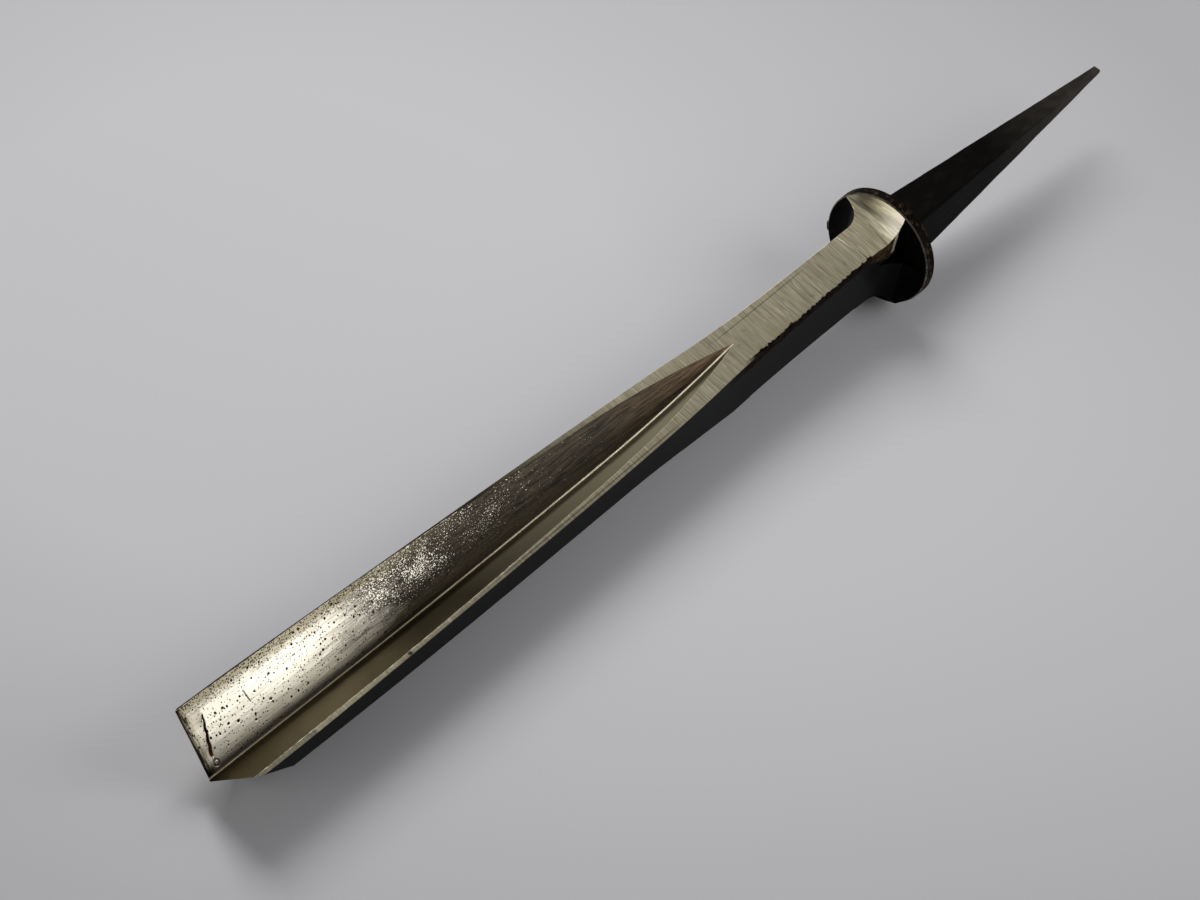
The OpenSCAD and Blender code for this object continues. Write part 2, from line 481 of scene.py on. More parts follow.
def worn_rim():
    """Forged rim rubbed by the hand and the ferrule: dark brown oxide with grey steel in a few patches."""
    material, tree, shader, place = new_material("worn_rim")
    patches = clouds(tree, place, (0.4, 0.7, 0.7), detail=5.0)
    bare = add_node(tree, "MapRange", {"Value": patches, "From Min": 0.53, "From Max": 0.75, "To Max": 0.7})
    colour = add_node(tree, "Mix", {0: bare, MIX_A: linear("0b0805"), MIX_B: linear("5a4633")}, **OF_COLOURS)
    metal = add_node(tree, "Math", {0: bare, 1: 0.5}, operation="MULTIPLY")
    bump = add_node(tree, "Bump", {"Height": patches, "Distance": 0.05 * MM})
    feed(tree, shader, {"Base Color": colour, "Metallic": metal, "Normal": bump})
    feed(tree, shader, {"Roughness": 0.5, "Specular IOR Level": 0.015})
    return material


def rubbed_edge(name="rubbed_edge_steel", dark="1c160f", light="7d7465"):
    """Worn edge: grey steel shows through the brown oxide in dashes."""
    material, tree, shader, place = new_material(name)
    dashes = clouds(tree, place, (0.5, 0.9, 0.9), detail=4.0)
    bare = add_node(tree, "MapRange", {"Value": dashes, "From Min": 0.4, "From Max": 0.6})
    colour = add_node(tree, "Mix", {0: bare, MIX_A: linear(dark), MIX_B: linear(light)}, **OF_COLOURS)
    feed(tree, shader, {"Base Color": colour, "Metallic": bare, "Roughness": 0.42})
    return material


def blued_side(name="blued_side", gleam=0.045):
    """Hardened and oiled side of the forging: smooth blue-black oxide with faint lengthwise lines.

    Below the right edge of the ground top runs a rough brown band, left where the flash was trimmed.
    """
    finish = bpy.context.scene.chisel_finish
    material, tree, shader, place = new_material(name)
    x, y, z = add_node(tree, "SeparateXYZ", {"Vector": place}, out=None).outputs
    lines = clouds(tree, place, (8.0, 0.3, 0.3))
    grain = clouds(tree, place, (0.8, 0.35, 0.35), detail=4.0)
    band = trimmed_band(tree, x, y, z, grain)
    crumbs = add_node(tree, "MapRange", {"Value": grain, "From Min": 0.4, "From Max": 0.65})
    torn = add_node(tree, "Mix", {0: crumbs, MIX_A: linear("020101"), MIX_B: linear("241b14")}, **OF_COLOURS)
    facet = add_node(tree, "Mix", {0: crumbs, MIX_A: linear("0e0906"), MIX_B: linear("52432f")}, **OF_COLOURS)
    # Beside the nose the band turns into a lighter facet, which ends in a bright burr
    nose = add_node(tree, "MapRange", {"Value": x, "From Min": 7.5, "From Max": 4.5})
    burr = add_node(tree, "MapRange", {"Value": x, "From Min": 2.8, "From Max": 2.55})
    upper = add_node(tree, "Math", {0: z, 1: 1.8}, operation="GREATER_THAN")
    burr = add_node(tree, "Math", {0: burr, 1: upper}, operation="MULTIPLY")
    for amount, over in ((nose, facet), (burr, linear("dccfb4"))):
        torn = add_node(tree, "Mix", {0: amount, MIX_A: torn, MIX_B: over}, **OF_COLOURS)
    colour = finish.blued
    for amount, over in ((lines, linear("0c0c0e")), (band, torn)):
        colour = add_node(tree, "Mix", {0: amount, MIX_A: colour, MIX_B: over}, **OF_COLOURS)
    rough = add_node(tree, "MapRange", {"Value": band, "To Min": 0.4, "To Max": 1.0})
    height = add_node(tree, "Math", {0: band, 1: grain}, operation="MULTIPLY")
    bump = add_node(tree, "Bump", {"Height": height, "Distance": 0.12 * MM})
    feed(tree, shader, {"Base Color": colour, "Roughness": rough, "Normal": bump})
    feed(tree, shader, {"Specular IOR Level": gleam})
    return material


def trimmed_band(tree, x, y, z, grain):
    """Amount of the rough band: it runs just under the sloping top, and drops away on the nose."""
    over = add_node(tree, "Math", {0: x, 1: BAND_SLOPE, 2: -BAND_HEIGHT}, operation="MULTIPLY_ADD")
    nose = add_node(tree, "MapRange", {"Value": x, "From Min": 8.0, "From Max": 2.2, "To Max": 2.2})
    for more in (nose, z):
        over = add_node(tree, "Math", {0: over, 1: more}, operation="ADD")
    over = add_node(tree, "Math", {0: grain, 1: 1.6, 2: over}, operation="MULTIPLY_ADD")
    band = add_node(tree, "MapRange", {"Value": over, "From Min": 0.62, "From Max": 0.82})
    end = add_node(tree, "MapRange", {"Value": x, "From Min": 34.0, "From Max": 28.0})
    band = add_node(tree, "Math", {0: band, 1: end}, operation="MULTIPLY")
    # Only on the right, in front of the bolster's disc, and on the upper part of the side
    for value, least in ((y, 0.0), (x, 2.1), (z, 0.9)):
        part = add_node(tree, "Math", {0: value, 1: least}, operation="GREATER_THAN")
        band = add_node(tree, "Math", {0: band, 1: part}, operation="MULTIPLY")
    return band


def cross_ground_top():
    """Top of the forging, ground across on a wheel: warm grey steel with cross scratches.

    The scratches blur what it mirrors lengthwise, so that the sweep at the bolster fades smoothly. On the
    sweep, light and shade are also painted into the colour, with a painted highlight at its right end.
    """
    material, tree, shader, place = new_material("cross_ground_steel")
    x, y, z = add_node(tree, "SeparateXYZ", {"Vector": place}, out=None).outputs
    turned = add_node(tree, "Mapping", {"Vector": place, "Rotation": (0, 0, -SCRATCH_TURN)})
    fine = clouds(tree, turned, (0.11, 3.0, 0.11), detail=1.0)
    coarse = clouds(tree, turned, (0.28, 5.0, 0.28), detail=2.0)
    shade = add_node(tree, "Math", {0: fine, 1: coarse}, operation="ADD")
    shade = add_node(tree, "MapRange", {"Value": shade, "From Min": 0.65, "From Max": 1.35})
    # Single deeper scratches, painted lighter as highlights where they catch the light
    scratch_glints = clouds(tree, turned, (0.22, 2.2, 0.22), detail=0.0)
    scratch_glints = add_node(tree, "MapRange", {"Value": scratch_glints, "From Min": 0.7, "From Max": 0.8, "To Max": 0.6})
    # How far to the right of the centre plane, less the slope of the fine dark line on the right wing
    aside = add_node(tree, "Math", {0: x, 1: -LINE_SLOPE, 2: y}, operation="MULTIPLY_ADD")
    # A brown film covers the left wing
    film = add_node(tree, "MapRange", {"Value": x, "From Min": 46.0, "From Max": 68.0})
    left = add_node(tree, "Math", {0: y, 1: 0.0}, operation="LESS_THAN")
    film = add_node(tree, "Math", {0: film, 1: left}, operation="MULTIPLY")
    # Stains, and painted shade on the upper left of the sweep
    darkening = stains_and_painted_shade_on_top(tree, place, x, aside, coarse)
    colour = linear("928a72")
    for amount, over in ((shade, "cac2a6"), (scratch_glints, "e2dcc4"), (darkening, "4d4636"), (film, "3a3427")):
        colour = add_node(tree, "Mix", {0: amount, MIX_A: colour, MIX_B: linear(over)}, **OF_COLOURS)
    # Painted light and shade: the level end is painted brighter, the start of the sweep painted darker, and
    # the sweep painted brighter as it rises
    painted_level_light = add_node(
        tree, "MapRange", {"Value": x, "From Min": 11.0, "From Max": 5.0, "To Min": 1.0, "To Max": 1.4}
    )
    painted_fade = add_node(
        tree, "MapRange", {"Value": z, "From Min": 4.3, "From Max": 5.8, "To Min": 0.62, "To Max": 1.4}
    )
    rising = add_node(tree, "Math", {0: z, 1: LEVEL_TOP}, operation="GREATER_THAN")
    value = add_node(tree, "Mix", {0: rising, 2: painted_level_light, 3: painted_fade})
    colour = add_node(tree, "HueSaturation", {"Color": colour, "Value": value})
    # Painted highlight: the right end of the sweep is painted bright
    away = add_node(tree, "VectorMath", {0: place, 1: PAINTED_HIGHLIGHT_PLACE}, out="Value", operation="DISTANCE")
    gleam = add_node(tree, "Math", {0: coarse, 1: -2.0, 2: away}, operation="MULTIPLY_ADD")
    gleam = add_node(tree, "MapRange", {"Value": gleam, "From Min": 1.6, "From Max": -0.4, "To Max": 0.9})
    for amount, over in ((gleam, "fff8ea"), (marks_on_top(tree, place, x, y, aside), "100b07")):
        colour = add_node(tree, "Mix", {0: amount, MIX_A: colour, MIX_B: linear(over)}, **OF_COLOURS)
    across = add_node(tree, "CombineXYZ", {"X": -math.sin(POLISH_TURN), "Y": math.cos(POLISH_TURN)})
    bump = add_node(tree, "Bump", {"Height": coarse, "Distance": 0.02 * MM})
    feed(tree, shader, {"Base Color": colour, "Metallic": 1.0, "Roughness": 0.42, "Normal": bump})
    feed(tree, shader, {"Anisotropic": 1.0, "Anisotropic Rotation": 0.25, "Tangent": across})
    return material


def stains_and_painted_shade_on_top(tree, place, x, aside, coarse):
    """Amount of the brown stains on the ground top, and of the painted shade on the upper left of the sweep.
    """
    # Further out on the wings the top has dulled
    dulled = add_node(tree, "MapRange", {"Value": x, "From Min": 40.0, "From Max": 64.0, "To Max": 0.24})
    darkening = clouds(tree, place, (1.6, 1.1, 1.6), detail=4.0)
    darkening = add_node(tree, "MapRange", {"Value": darkening, "From Min": 0.62, "From Max": 0.8, "To Max": 0.5})
    darkening = add_node(tree, "Math", {0: darkening, 1: dulled}, operation="MAXIMUM")
    # The outer part of the right wing is duller, beyond a fine dark line
    duller = add_node(tree, "MapRange", {"Value": aside, "From Min": 1.75, "From Max": 1.8, "To Max": 0.5})
    duller = add_node(tree, "Math", {0: duller, 1: dulled}, operation="MULTIPLY")
    darkening = add_node(tree, "Math", {0: darkening, 1: duller}, operation="ADD")
    # Painted shade: the upper left of the sweep is painted darker
    away = add_node(tree, "VectorMath", {0: place, 1: PAINTED_SHADE_PLACE}, out="Value", operation="DISTANCE")
    painted_shade = add_node(tree, "Math", {0: coarse, 1: 1.5, 2: away}, operation="MULTIPLY_ADD")
    painted_shade = add_node(tree, "MapRange", {"Value": painted_shade, "From Min": 3.75, "From Max": 1.6, "To Max": 0.95})
    return add_node(tree, "Math", {0: darkening, 1: painted_shade}, operation="MAXIMUM")


def marks_on_top(tree, place, x, y, aside):
    """Amount of the dark marks on the ground top: two fine lines, torn flash and a nick."""
    # The ends of the line scribed along the left of the shank. The torn flash ends where it does
    begun = add_node(tree, "MapRange", {"Value": x, "From Min": 13.0, "From Max": 17.0})
    ended = add_node(tree, "MapRange", {"Value": x, "From Min": 31.0, "From Max": 29.0})
    off_line = add_node(tree, "Math", {0: y, 1: SCRIBED_PLACE}, operation="SUBTRACT")
    off_line = add_node(tree, "Math", {0: off_line}, operation="ABSOLUTE")
    scribed = add_node(
        tree, "MapRange", {"Value": off_line, "From Min": 0.09, "From Max": 0.03, "To Max": 0.6}
    )
    for part in (begun, ended):
        scribed = add_node(tree, "Math", {0: scribed, 1: part}, operation="MULTIPLY")
    # Flash torn off in chips along the right edge of the shank
    chips = clouds(tree, place, (0.5, 0.4, 0.4), detail=4.0)
    torn = add_node(tree, "Math", {0: x, 1: -EDGE_SLOPE, 2: y}, operation="MULTIPLY_ADD")
    torn = add_node(tree, "Math", {0: chips, 1: 0.9, 2: torn}, operation="MULTIPLY_ADD")
    torn = add_node(tree, "MapRange", {"Value": torn, "From Min": 2.56, "From Max": 2.64})
    torn = add_node(tree, "Math", {0: torn, 1: ended}, operation="MULTIPLY")
    marks = add_node(tree, "Math", {0: torn, 1: scribed}, operation="MAXIMUM")
    off_nose = add_node(tree, "Math", {0: x, 1: 7.0}, operation="GREATER_THAN")
    marks = add_node(tree, "Math", {0: marks, 1: off_nose}, operation="MULTIPLY")
    # The fine dark line on the right wing
    line = add_node(tree, "Math", {0: aside, 1: LINE_PLACE}, operation="SUBTRACT")
    line = add_node(tree, "Math", {0: line}, operation="ABSOLUTE")
    line = add_node(tree, "MapRange", {"Value": line, "From Min": 0.1, "From Max": 0.04, "To Max": 0.65})
    for outer, inner in ((42.0, 46.0), (82.0, 74.0)):
        part = add_node(tree, "MapRange", {"Value": x, "From Min": outer, "From Max": inner})
        line = add_node(tree, "Math", {0: line, 1: part}, operation="MULTIPLY")
    nick = add_node(tree, "VectorMath", {0: place, 1: NICK_PLACE}, out="Value", operation="DISTANCE")
    nick = add_node(tree, "MapRange", {"Value": nick, "From Min": 0.34, "From Max": 0.2, "To Max": 0.9})
    for more in (line, nick):
        marks = add_node(tree, "Math", {0: marks, 1: more}, operation="MAXIMUM")
    return marks


def dull_edge():
    """Outer edge of the left wing: ground steel near the run-out, further out under a dark brown film."""
    material, tree, shader, place = new_material("dull_edge_steel")
    x = add_node(tree, "SeparateXYZ", {"Vector": place}, out="X")
    patches = clouds(tree, place, (2.0, 0.4, 0.4))
    bare = add_node(tree, "MapRange", {"Value": x, "From Min": 66.0, "From Max": 48.0})
    colour = linear("0f0c08")
    for amount, over in ((patches, "4a4335"), (bare, "979078")):
        colour = add_node(tree, "Mix", {0: amount, MIX_A: colour, MIX_B: linear(over)}, **OF_COLOURS)
    feed(tree, shader, {"Base Color": colour, "Metallic": 1.0, "Roughness": 0.4})
    return material


def plain_wall():
    """Right wall of the groove: steel off a fine wheel, with a thin olive film, painted shade along its foot,
    and darker near the edge.
    """
    material, tree, shader, place = new_material("film_grey_steel")
    x, y, _ = add_node(tree, "SeparateXYZ", {"Vector": place}, out=None).outputs
    lines = clouds(tree, place, (9.0, 0.25, 0.25))
    # The film thickens towards the run-out, where no wood rubs it off
    film = add_node(tree, "MapRange", {"Value": x, "From Min": 80.0, "From Max": 46.0, "To Max": 0.75})
    # Painted shade lies along the foot of the wall, and the wall is darker near the edge
    grain = clouds(tree, place, (2.5, 0.3, 0.3))
    foot = add_node(tree, "Math", {0: grain, 1: 0.5, 2: y}, operation="MULTIPLY_ADD")
    foot = add_node(tree, "Math", {0: x, 1: -0.006, 2: foot}, operation="MULTIPLY_ADD")
    foot = add_node(tree, "MapRange", {"Value": foot, "From Min": 1.3, "From Max": 0.65, "To Max": 0.9})
    tip = add_node(tree, "MapRange", {"Value": x, "From Min": 92.0, "From Max": 115.0, "To Max": 0.93})
    shade_and_dark_edge = add_node(tree, "Math", {0: foot, 1: tip}, operation="MAXIMUM")
    colour = linear("7e7762")
    for amount, over in ((lines, "928b74"), (film, "9a9278"), (shade_and_dark_edge, "302718")):
        colour = add_node(tree, "Mix", {0: amount, MIX_A: colour, MIX_B: linear(over)}, **OF_COLOURS)
    metal = add_node(tree, "Math", {0: 1.0, 1: film}, operation="SUBTRACT")
    feed(tree, shader, {"Base Color": colour, "Metallic": metal, "Roughness": 0.3})
    # The film tints what the wall mirrors at a low angle too
    feed(tree, shader, {"Specular Tint": linear("dcd4c4")})
    return material


def worn_root():
    """Narrow round at the bottom of the V, scraped bright by the wheel's corner, between lines of painted
    shade.
    """
    material, tree, shader, place = new_material("root_steel")
    x, y, _ = add_node(tree, "SeparateXYZ", {"Vector": place}, out=None).outputs
    grain = clouds(tree, place, (1.6, 0.2, 0.2))
    dulled = add_node(tree, "MapRange", {"Value": x, "From Min": 50.0, "From Max": 85.0, "To Max": 0.82})
    # Painted shade: a dark line painted along each side of the round
    left = add_node(tree, "MapRange", {"Value": y, "From Min": -0.55, "From Max": -0.66})
    right = add_node(tree, "MapRange", {"Value": y, "From Min": 0.12, "From Max": 0.24})
    dark = add_node(tree, "Math", {0: left, 1: right}, operation="MAXIMUM")
    colour = linear("857e68")
    for amount, over in ((grain, "d2cbb4"), (dulled, "3a3325"), (dark, "2b251b")):
        colour = add_node(tree, "Mix", {0: amount, MIX_A: colour, MIX_B: linear(over)}, **OF_COLOURS)
    feed(tree, shader, {"Base Color": colour, "Metallic": 1.0, "Roughness": 0.36})
    return material


def pitted_wall():
    """Left wall of the groove: honed bright towards the edge, brown patina further up, with rust pits."""
    material, tree, shader, place = new_material("pitted_steel")
    # Lays the wall flat: x stays the distance from the seat, y becomes the distance up the wall
    wall = add_node(
        tree, "Mapping", {"Vector": place, "Rotation": (-WALL_TURN, 0, 0), "Location": (0, WALL_START, 0)}
    )
    along, up, _ = add_node(tree, "SeparateXYZ", {"Vector": wall}, out=None).outputs
    # Uneven outlines for pits and glints
    shaky = add_node(tree, "TexNoise", {"Vector": wall, "Scale": 2.5, "Detail": 2.0}, out="Color")
    ragged = add_node(tree, "Mix", {0: 0.035, MIX_A: wall, MIX_B: shaky}, blend_type="ADD", **OF_COLOURS)

    fine = clouds(tree, wall, (3.0, 0.14, 1.0), detail=2.0)
    streaks = clouds(tree, wall, (7.0, 0.4, 1.0))
    broad = clouds(tree, wall, (6.0, 2.0, 1.0))
    shade = add_node(tree, "Math", {0: fine, 1: streaks}, operation="ADD")
    shade = add_node(tree, "MapRange", {"Value": shade, "From Min": 0.7, "From Max": 1.3})
    steel = add_node(tree, "Mix", {0: shade, MIX_A: linear("c6c0ae"), MIX_B: linear("f0eadb")}, **OF_COLOURS)
    # The patina thins out towards the edge, further in some streaks than in others
    wander = add_node(tree, "Math", {0: broad, 1: -14.0, 2: 7.0}, operation="MULTIPLY_ADD")
    reach = add_node(tree, "Math", {0: along, 1: wander}, operation="ADD")
    reach = add_node(tree, "Math", {0: shade, 1: 5.0, 2: reach}, operation="MULTIPLY_ADD")
    brown = add_node(
        tree,
        "MapRange",
        {"Value": reach, "From Min": 104.0, "From Max": 85.0, "To Max": 0.98},
        interpolation_type="SMOOTHSTEP",
    )
    patina = brown_patina(tree, along, up, fine, broad, ragged)
    film = film_on_wall(tree, wall, along, up)
    stained, shade_and_dark_edge = stained_and_shaded_parts(tree, wall, along, up, film)
    pits = rust_pits(tree, ragged, along, film)
    # Rust in the crack, redder low down
    rim = add_node(tree, "Attribute", attribute_name="scar_rim", out="Fac")
    rim = add_node(tree, "MapRange", {"Value": rim, "From Min": 0.1, "From Max": 0.6})
    red = add_node(tree, "MapRange", {"Value": up, "From Min": 4.5, "From Max": 2.0})
    rusted = add_node(tree, "Mix", {0: red, MIX_A: linear("1c120b"), MIX_B: linear("5c2c16")}, **OF_COLOURS)
    layers = (
        (brown, patina),
        (stained, linear("6f654c")),
        # Painted shade at the foot of the wall, and the dark line at the edge
        (shade_and_dark_edge, linear("1e1810")),
        (pits, linear("150e08")),
        (rim, rusted),
    )
    colour = steel
    for amount, over in layers:
        colour = add_node(tree, "Mix", {0: amount, MIX_A: colour, MIX_B: over}, **OF_COLOURS)
    metal = add_node(tree, "MapRange", {"Value": brown, "To Min": 1.0, "To Max": 0.97})
    rough = add_node(tree, "MapRange", {"Value": brown, "To Min": 0.31, "To Max": 0.42})
    depth = add_node(tree, "Math", {0: fine, 1: 0.15, 2: pits}, operation="MULTIPLY_ADD")
    bump = add_node(tree, "Bump", {"Height": depth, "Distance": 0.06 * MM}, invert=True)
    feed(tree, shader, {"Base Color": colour, "Metallic": metal, "Roughness": rough, "Normal": bump})
    return material


def brown_patina(tree, along, up, fine, broad, ragged):
    """Colour of the patina: olive at the foot of the wall, rusty at the run-out, with painted glints in
    bright flecks.
    """
    finish = bpy.context.scene.chisel_finish
    crisp = add_node(tree, "MapRange", {"Value": fine, "From Min": 0.38, "From Max": 0.66})
    olive = add_node(tree, "MapRange", {"Value": up, "From Min": 2.4, "From Max": 0.8, "To Max": 0.45})
    rusty = add_node(tree, "MapRange", {"Value": along, "From Min": 50.0, "From Max": 33.0, "To Max": 0.6})
    grain = add_node(
        tree, "MapRange", {"Value": fine, "From Min": 0.4, "From Max": 0.6, "To Min": 0.35, "To Max": 1.35}
    )
    rusty = add_node(tree, "Math", {0: rusty, 1: grain}, operation="MULTIPLY")
    # Painted glints: bright flecks painted where pits in the patina would catch the light
    painted_glints = clouds(tree, ragged, (0.22, 0.12, 1.0), detail=3.0)
    zone = add_node(tree, "MapRange", {"Value": along, "From Min": 56.0, "From Max": 78.0})
    high = add_node(tree, "MapRange", {"Value": up, "From Min": 1.0, "From Max": 4.0})
    patches = add_node(tree, "MapRange", {"Value": broad, "From Min": 0.25, "From Max": 0.6})
    for part in (high, patches):
        zone = add_node(tree, "Math", {0: zone, 1: part}, operation="MULTIPLY")
    painted_glints = add_node(tree, "Math", {0: zone, 1: 0.2, 2: painted_glints}, operation="MULTIPLY_ADD")
    painted_glints = add_node(tree, "MapRange", {"Value": painted_glints, "From Min": 0.7, "From Max": 0.79})
    layers = (
        (crisp, finish.patina),
        (olive, linear("5d5541")),
        (rusty, finish.rust),
        (painted_glints, linear("f2eddc")),
    )
    colour = linear("060402")
    for amount, over in layers:
        colour = add_node(tree, "Mix", {0: amount, MIX_A: colour, MIX_B: over}, **OF_COLOURS)
    return colour


def film_on_wall(tree, wall, along, up):
    """Amount of the yellow-brown film along the top of the left wall, where the stone doesn't reach."""
    rise = add_node(tree, "Math", {0: along, 1: 0.03, 2: 4.5}, operation="MULTIPLY_ADD")
    below = add_node(tree, "Math", {0: rise, 1: up}, operation="SUBTRACT")
    cloudy = clouds(tree, wall, (2.0, 0.5, 1.0), detail=4.0)
    below = add_node(tree, "Math", {0: below, 1: cloudy}, operation="ADD")
    film = add_node(tree, "MapRange", {"Value": below, "From Min": 1.9, "From Max": 0.8, "To Max": 0.85})
    far_out = add_node(tree, "MapRange", {"Value": along, "From Min": 72.0, "From Max": 92.0})
    return add_node(tree, "Math", {0: film, 1: far_out}, operation="MULTIPLY")


def stained_and_shaded_parts(tree, wall, along, up, film):
    """Amounts of the stain, and of the painted shade and the dark line at the edge, on the left wall."""
    # Beyond the scar the facet is duller, and stained in stripes towards the edge
    scar = add_node(tree, "Math", {0: up, 1: SCAR_SLOPE, 2: along}, operation="MULTIPLY_ADD")
    beyond = add_node(
        tree, "MapRange", {"Value": scar, "From Min": SCAR_PLACE + 0.03, "From Max": SCAR_PLACE + 0.23}
    )
    stripes = clouds(tree, wall, (0.2, 1.2, 1.0), detail=4.0)
    stripes = add_node(tree, "MapRange", {"Value": stripes, "From Min": 0.4, "From Max": 0.65})
    jagged = add_node(tree, "Math", {0: stripes, 1: 0.5, 2: along}, operation="MULTIPLY_ADD")
    close = add_node(
        tree, "MapRange", {"Value": jagged, "From Min": 115.9, "From Max": 117.0, "To Min": 0.45}
    )
    beyond = add_node(tree, "Math", {0: beyond, 1: close}, operation="MULTIPLY")
    stained = add_node(tree, "Math", {0: film, 1: beyond}, operation="MAXIMUM")
    # Painted shade lies along the foot of the wall, and a dark line runs at the very edge
    foot = add_node(tree, "MapRange", {"Value": up, "From Min": 1.3, "From Max": 0.5, "To Max": 0.85})
    far_out = add_node(tree, "MapRange", {"Value": along, "From Min": 62.0, "From Max": 85.0})
    foot = add_node(tree, "Math", {0: foot, 1: far_out}, operation="MULTIPLY")
    tip = add_node(tree, "MapRange", {"Value": jagged, "From Min": 116.4, "From Max": 116.85, "To Max": 0.97})
    return stained, add_node(tree, "Math", {0: foot, 1: tip}, operation="MAXIMUM")


def rust_pits(tree, ragged, along, film):
    """Amount of the rust pits: a few large ones, many small ones, most of them in the film."""
    pits = specks(tree, ragged, spacing=0.9, radius=0.17, kept=0.42)
    small = specks(tree, ragged, spacing=0.4, radius=0.1, kept=0.55)
    dense = specks(tree, ragged, spacing=0.27, radius=0.11, kept=0.8)
    dense = add_node(tree, "Math", {0: dense, 1: film}, operation="MULTIPLY")
    for more in (small, dense):
        pits = add_node(tree, "Math", {0: pits, 1: more}, operation="MAXIMUM")
    far_out = add_node(tree, "MapRange", {"Value": along, "From Min": 56.0, "From Max": 90.0})
    pits = add_node(tree, "Math", {0: pits, 1: far_out}, operation="MULTIPLY")
    # The pits that are pressed into the mesh
    sunk = add_node(tree, "Attribute", attribute_name="pits", out="Fac")
    sunk = add_node(tree, "MapRange", {"Value": sunk, "From Min": 0.15, "From Max": 0.6})
    return add_node(tree, "Math", {0: pits, 1: sunk}, operation="MAXIMUM")


def stoned_bevel():
    """Sharpening bevels, stoned by hand: bright steel with fine lines."""
    finish = bpy.context.scene.chisel_finish
    material, tree, shader, place = new_material("stoned_steel")
    lines = clouds(tree, place, (4.0, 0.2, 0.2))
    colour = add_node(tree, "Mix", {0: lines, MIX_A: linear("aaa596"), MIX_B: finish.steel}, **OF_COLOURS)
    feed(tree, shader, {"Base Color": colour, "Metallic": 1.0, "Roughness": 0.3})
    return material


def wall_place(place):
    """Distance from the seat and distance up the left wall of a place, all in millimetres."""
    return place.x, place.y * math.cos(WALL_TURN) + place.z * math.sin(WALL_TURN) + WALL_START


def carries_marks(place):
    """Whether a place lies on the face of the left wall, near enough to the edge to carry marks."""
    height = -place.y * math.sin(WALL_TURN) + place.z * math.cos(WALL_TURN)
    return place.x > MARKS_START and abs(height - WALL_HEIGHT) < WALL_REACH


def pit_share(along, up):
    """How deep the rust pits and the scratch are here, as a share of the pits' depth."""
    deepest = max(1 - ramp(math.hypot(along - x, up - y), 0.3 * r, r) for x, y, r in LARGE_PITS)
    (x0, y0), (x1, y1) = SCRATCH
    # The nearest place on the scratch, as a part of its length
    part = min(max((y0 - up) / (y0 - y1), 0.0), 1.0)
    aside = math.hypot(along - x0 - part * (x1 - x0), up - y0 - part * (y1 - y0))
    return max(deepest, 0.38 * (1 - ramp(aside, 0.03, 0.09)))


def scar_share(along, up):
    """How deep the facet between the scar and the edge is here, as a share of the scar's depth."""
    # Deepest just beyond the scar, it runs out towards the edge, the foot and the top
    beyond = beyond_scar(along, up)
    facet = ramp(beyond, 0.0, 0.12) * (1 - 0.8 * ramp(beyond, 0.2, 1.8))
    facet *= ramp(up, 0.9, 2.7) * (1 - ramp(up, 5.0, 6.4))
    return max(facet, 0.22 * ring_share(along, up))


def beyond_scar(along, up):
    """How far a place on the left wall lies beyond the line of the scar, towards the edge."""
    return along + SCAR_SLOPE * up - SCAR_PLACE


def ring_share(along, up):
    """How deep the small ring at the foot of the scar is here, as a share."""
    x, y, radius = RING
    return 1 - ramp(abs(math.hypot(along - x, up - y) - radius), 0.02, 0.1)


def scar_rim_share(along, up):
    """How deep the rusty crack that bounds the facet is here, as a share of the pits' depth."""
    # The crack narrows up the wall, and waves a little
    width = 0.36 - 0.04 * up
    aside = abs(beyond_scar(along, up) + 0.04 * math.sin(5 * up))
    crack = 1 - ramp(aside, 0.3 * width, width)
    crack *= ramp(up, 1.5, 2.1) * (1 - ramp(up, 5.9, 6.3))
    return max(crack, 0.5 * ring_share(along, up))


